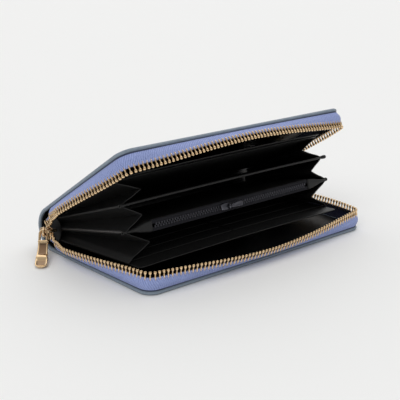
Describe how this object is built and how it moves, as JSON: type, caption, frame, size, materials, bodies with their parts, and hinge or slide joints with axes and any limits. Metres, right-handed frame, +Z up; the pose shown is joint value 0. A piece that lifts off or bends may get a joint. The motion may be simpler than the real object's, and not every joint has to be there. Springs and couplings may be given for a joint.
{
  "type": "zip around wallet",
  "caption": "Long zip around wallet, part open, with a fan of card slots, a zip coin pocket, a divider and folded side gussets.",
  "frame": {"origin": "centre of the lower cover's underside, on the surface it rests on", "axes": "+X along the spine, the mouth faces -Y, +Z up"},
  "size_m": [0.2191, 0.1192, 0.0807],
  "materials": {
    "outer_leather": "smooth grey-blue leather",
    "black_leather": "black grained leather",
    "lining": "smooth black lining",
    "board": "plain stiffener",
    "blue_tape": "woven periwinkle zip tape",
    "black_tape": "woven black zip tape",
    "gold_metal": "polished gold",
    "black_metal": "black plated"
  },
  "bodies": {
    "lower_cover": {"lower_cover_leather": "outer_leather", "lower_cover_board": "board", "lower_cover_lining": "lining", "spine_leather": "outer_leather", "spine_lining": "lining", "lower_zip_tape": "blue_tape", "lower_zip_teeth": "gold_metal"},
    "upper_cover": {"upper_cover_leather": "outer_leather", "upper_cover_board": "board", "upper_cover_lining": "lining", "upper_zip_tape": "blue_tape", "upper_zip_teeth": "gold_metal"},
    "card_side": {"card_panel": "black_leather", "card_slot_left_1": "black_leather", "card_slot_right_1": "black_leather", "card_slot_left_2": "black_leather", "card_slot_right_2": "black_leather", "card_slot_left_3": "black_leather", "card_slot_right_3": "black_leather"},
    "coin_pocket": {"coin_pocket_upper_wall": "black_leather", "coin_pocket_lower_wall": "black_leather", "coin_zip_teeth_upper": "black_metal", "coin_zip_tape_upper": "black_tape", "coin_zip_teeth_lower": "black_metal", "coin_zip_tape_lower": "black_tape", "coin_zip_tab_left": "black_leather", "coin_zip_tab_right": "black_leather"},
    "divider": {"divider_sheet": "black_leather", "divider_binding": "black_leather"},
    "slip_side": {"slip_panel": "black_leather", "slip_pocket": "black_leather"},
    "gusset_lower_left_bottom": {"gusset_lower_left_bottom": "black_leather"},
    "gusset_lower_left_top": {"gusset_lower_left_top": "black_leather"},
    "gusset_lower_right_bottom": {"gusset_lower_right_bottom": "black_leather"},
    "gusset_lower_right_top": {"gusset_lower_right_top": "black_leather"},
    "gusset_middle_left_bottom": {"gusset_middle_left_bottom": "black_leather"},
    "gusset_middle_left_top": {"gusset_middle_left_top": "black_leather"},
    "gusset_middle_right_bottom": {"gusset_middle_right_bottom": "black_leather"},
    "gusset_middle_right_top": {"gusset_middle_right_top": "black_leather"},
    "gusset_upper_left_bottom": {"gusset_upper_left_bottom": "black_leather"},
    "gusset_upper_left_top": {"gusset_upper_left_top": "black_leather"},
    "gusset_upper_right_bottom": {"gusset_upper_right_bottom": "black_leather"},
    "gusset_upper_right_top": {"gusset_upper_right_top": "black_leather"},
    "zip_slider": {"zip_slider": "gold_metal"},
    "zip_pull": {"zip_pull": "gold_metal"},
    "coin_slider": {"coin_zip_slider": "black_metal"},
    "coin_pull": {"coin_zip_pull": "black_metal"}
  },
  "joints": [
    {"name": "cover_hinge", "type": "hinge", "parent": "lower_cover", "child": "upper_cover", "pos_m": [0, 0.0506, 0.0125], "axis": [-1, 0, 0], "range_deg": [-31.5, 12], "deforming": ["spine_leather", "spine_lining"]},
    {"name": "card_side_turn", "type": "hinge", "parent": "lower_cover", "child": "card_side", "pos_m": [0, 0.0506, 0.0125], "axis": [-1, 0, 0], "range_deg": [-3.79, 1.45]},
    {"name": "coin_pocket_turn", "type": "hinge", "parent": "lower_cover", "child": "coin_pocket", "pos_m": [0, 0.0506, 0.0125], "axis": [-1, 0, 0], "range_deg": [-12.14, 4.64]},
    {"name": "divider_turn", "type": "hinge", "parent": "lower_cover", "child": "divider", "pos_m": [0, 0.0506, 0.0125], "axis": [-1, 0, 0], "range_deg": [-18.85, 7.19]},
    {"name": "slip_side_turn", "type": "hinge", "parent": "lower_cover", "child": "slip_side", "pos_m": [0, 0.0506, 0.0125], "axis": [-1, 0, 0], "range_deg": [-27.2, 10.38]},
    {"name": "gusset_lower_left_bottom_fold", "type": "hinge", "parent": "card_side", "child": "gusset_lower_left_bottom", "pos_m": [-0.0865, 0.00535, 0.01063], "axis": [0, -0.9974, 0.0715], "range_deg": [-26.73, 10.2]},
    {"name": "gusset_lower_left_top_fold", "type": "hinge", "parent": "coin_pocket", "child": "gusset_lower_left_top", "pos_m": [-0.0865, 0.00642, 0.02122], "axis": [0, 0.9736, -0.2284], "range_deg": [-17.23, 6.58]},
    {"name": "gusset_lower_right_bottom_fold", "type": "hinge", "parent": "card_side", "child": "gusset_lower_right_bottom", "pos_m": [0.0865, 0.00535, 0.01063], "axis": [0, 0.9974, -0.0715], "range_deg": [-26.73, 10.2]},
    {"name": "gusset_lower_right_top_fold", "type": "hinge", "parent": "coin_pocket", "child": "gusset_lower_right_top", "pos_m": [0.0865, 0.00642, 0.02122], "axis": [0, -0.9736, 0.2284], "range_deg": [-17.23, 6.58]},
    {"name": "gusset_middle_left_bottom_fold", "type": "hinge", "parent": "coin_pocket", "child": "gusset_middle_left_bottom", "pos_m": [-0.0865, 0.00702, 0.02375], "axis": [0, -0.9736, 0.2284], "range_deg": [-18.34, 7]},
    {"name": "gusset_middle_left_top_fold", "type": "hinge", "parent": "divider", "child": "gusset_middle_left_top", "pos_m": [-0.0865, 0.01011, 0.03271], "axis": [0, 0.9367, -0.3502], "range_deg": [-27.84, 10.62]},
    {"name": "gusset_middle_right_bottom_fold", "type": "hinge", "parent": "coin_pocket", "child": "gusset_middle_right_bottom", "pos_m": [0.0865, 0.00702, 0.02375], "axis": [0, 0.9736, -0.2284], "range_deg": [-18.34, 7]},
    {"name": "gusset_middle_right_top_fold", "type": "hinge", "parent": "divider", "child": "gusset_middle_right_top", "pos_m": [0.0865, 0.01011, 0.03271], "axis": [0, -0.9367, 0.3502], "range_deg": [-27.84, 10.62]},
    {"name": "gusset_upper_left_bottom_fold", "type": "hinge", "parent": "divider", "child": "gusset_upper_left_bottom", "pos_m": [-0.0865, 0.01078, 0.03449], "axis": [0, -0.9367, 0.3502], "range_deg": [-21.42, 8.17]},
    {"name": "gusset_upper_left_top_fold", "type": "hinge", "parent": "slip_side", "child": "gusset_upper_left_top", "pos_m": [-0.0865, 0.0151, 0.04112], "axis": [0, 0.8695, -0.4939], "range_deg": [-21.42, 8.17]},
    {"name": "gusset_upper_right_bottom_fold", "type": "hinge", "parent": "divider", "child": "gusset_upper_right_bottom", "pos_m": [0.0865, 0.01078, 0.03449], "axis": [0, 0.9367, -0.3502], "range_deg": [-21.42, 8.17]},
    {"name": "gusset_upper_right_top_fold", "type": "hinge", "parent": "slip_side", "child": "gusset_upper_right_top", "pos_m": [0.0865, 0.0151, 0.04112], "axis": [0, -0.8695, 0.4939], "range_deg": [-21.42, 8.17]},
    {"name": "zip_slider_run", "type": "slide", "parent": "lower_cover", "child": "zip_slider", "axis": [0, -1, 0], "range_m": [0, 0.0035]},
    {"name": "zip_pull_swing", "type": "hinge", "parent": "zip_slider", "child": "zip_pull", "pos_m": [-0.09987, 0.04338, 0.0142], "axis": [-0.7837, 0.6211, 0], "range_deg": [0, 100]},
    {"name": "coin_slider_run", "type": "slide", "parent": "coin_pocket", "child": "coin_slider", "axis": [1, 0, 0], "range_m": [-0.052, 0.071]},
    {"name": "coin_pull_swing", "type": "hinge", "parent": "coin_slider", "child": "coin_pull", "pos_m": [-0.0071, -0.02677, 0.03034], "axis": [0, -0.2284, -0.9736], "range_deg": [0, 150]}
  ],
  "couplings": [
    {"joint": "card_side_turn", "follows": "cover_hinge", "ratio": 0.11953},
    {"joint": "coin_pocket_turn", "follows": "cover_hinge", "ratio": 0.38484},
    {"joint": "divider_turn", "follows": "cover_hinge", "ratio": 0.59767},
    {"joint": "slip_side_turn", "follows": "cover_hinge", "ratio": 0.86297},
    {"joint": "gusset_lower_left_bottom_fold", "follows": "cover_hinge", "ratio": 0.84809},
    {"joint": "gusset_lower_left_top_fold", "follows": "cover_hinge", "ratio": 0.5465},
    {"joint": "gusset_lower_right_bottom_fold", "follows": "cover_hinge", "ratio": 0.84809},
    {"joint": "gusset_lower_right_top_fold", "follows": "cover_hinge", "ratio": 0.5465},
    {"joint": "gusset_middle_left_bottom_fold", "follows": "cover_hinge", "ratio": 0.58154},
    {"joint": "gusset_middle_left_top_fold", "follows": "cover_hinge", "ratio": 0.88313},
    {"joint": "gusset_middle_right_bottom_fold", "follows": "cover_hinge", "ratio": 0.58154},
    {"joint": "gusset_middle_right_top_fold", "follows": "cover_hinge", "ratio": 0.88313},
    {"joint": "gusset_upper_left_bottom_fold", "follows": "cover_hinge", "ratio": 0.67936},
    {"joint": "gusset_upper_left_top_fold", "follows": "cover_hinge", "ratio": 0.67936},
    {"joint": "gusset_upper_right_bottom_fold", "follows": "cover_hinge", "ratio": 0.67936},
    {"joint": "gusset_upper_right_top_fold", "follows": "cover_hinge", "ratio": 0.67936}
  ]
}
